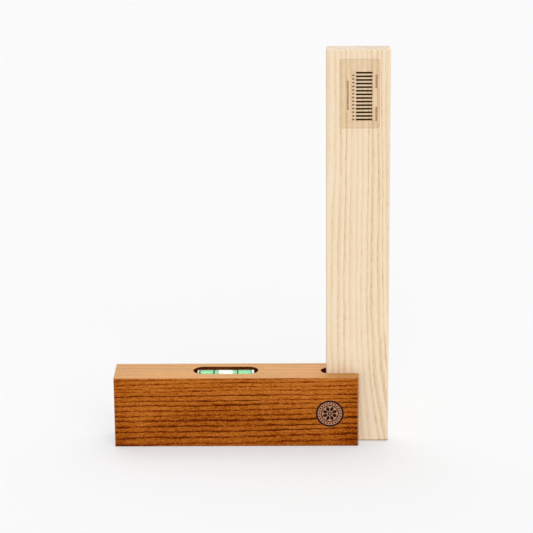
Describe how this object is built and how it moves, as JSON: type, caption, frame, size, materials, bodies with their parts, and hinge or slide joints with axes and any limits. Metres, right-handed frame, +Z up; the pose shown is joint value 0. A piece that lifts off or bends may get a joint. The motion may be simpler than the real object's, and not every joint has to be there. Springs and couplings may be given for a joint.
{
  "type": "try square with spirit level",
  "caption": "Wooden try square whose pale blade stands in a slot in a thick dark stock, with a green spirit level vial set in the top of the stock.",
  "frame": {"origin": "centre of the tool's footprint, on the plane that the stock's base and the blade's lower end stand on", "axes": "+X along the stock from its free end towards the blade, -Y out of the front face that carries the badge, +Z up the blade"},
  "size_m": [0.1966, 0.0316, 0.288],
  "materials": {
    "dark_ash": "heat-treated ash, sanded and oiled, reddish brown with darker grain along the stock",
    "pale_ash": "pale ash, finely sanded, matt, with tan grain along the blade",
    "plaster": "white plaster, matt",
    "clear_acrylic": "clear acrylic, polished",
    "green_spirit": "clear green liquid",
    "air": "air, bright against the liquid",
    "white_plug": "white moulded plastic",
    "black_rubber": "dark rubber",
    "black_line": "black marking lines",
    "badge": "pinkish beige print with a black rim",
    "label_film": "clear film with black print, half gloss"
  },
  "bodies": {
    "square": {"stock": "dark_ash", "blade": "pale_ash", "vial_bed": "plaster", "vial_tube": "clear_acrylic", "vial_liquid": "green_spirit", "vial_plug_left": "white_plug", "vial_plug_right": "white_plug", "vial_seal_left": "black_rubber", "vial_seal_right": "black_rubber", "vial_line_left": "black_line", "vial_line_right": "black_line", "round_badge": "badge", "adhesive_label": "label_film"},
    "bubble": {"bubble": "air"}
  },
  "joints": [
    {"name": "bubble_travel", "type": "slide", "parent": "square", "child": "bubble", "axis": [1, 0, 0], "range_m": [-0.0129, 0.013], "stiffness_N_per_m": 0.5}
  ]
}
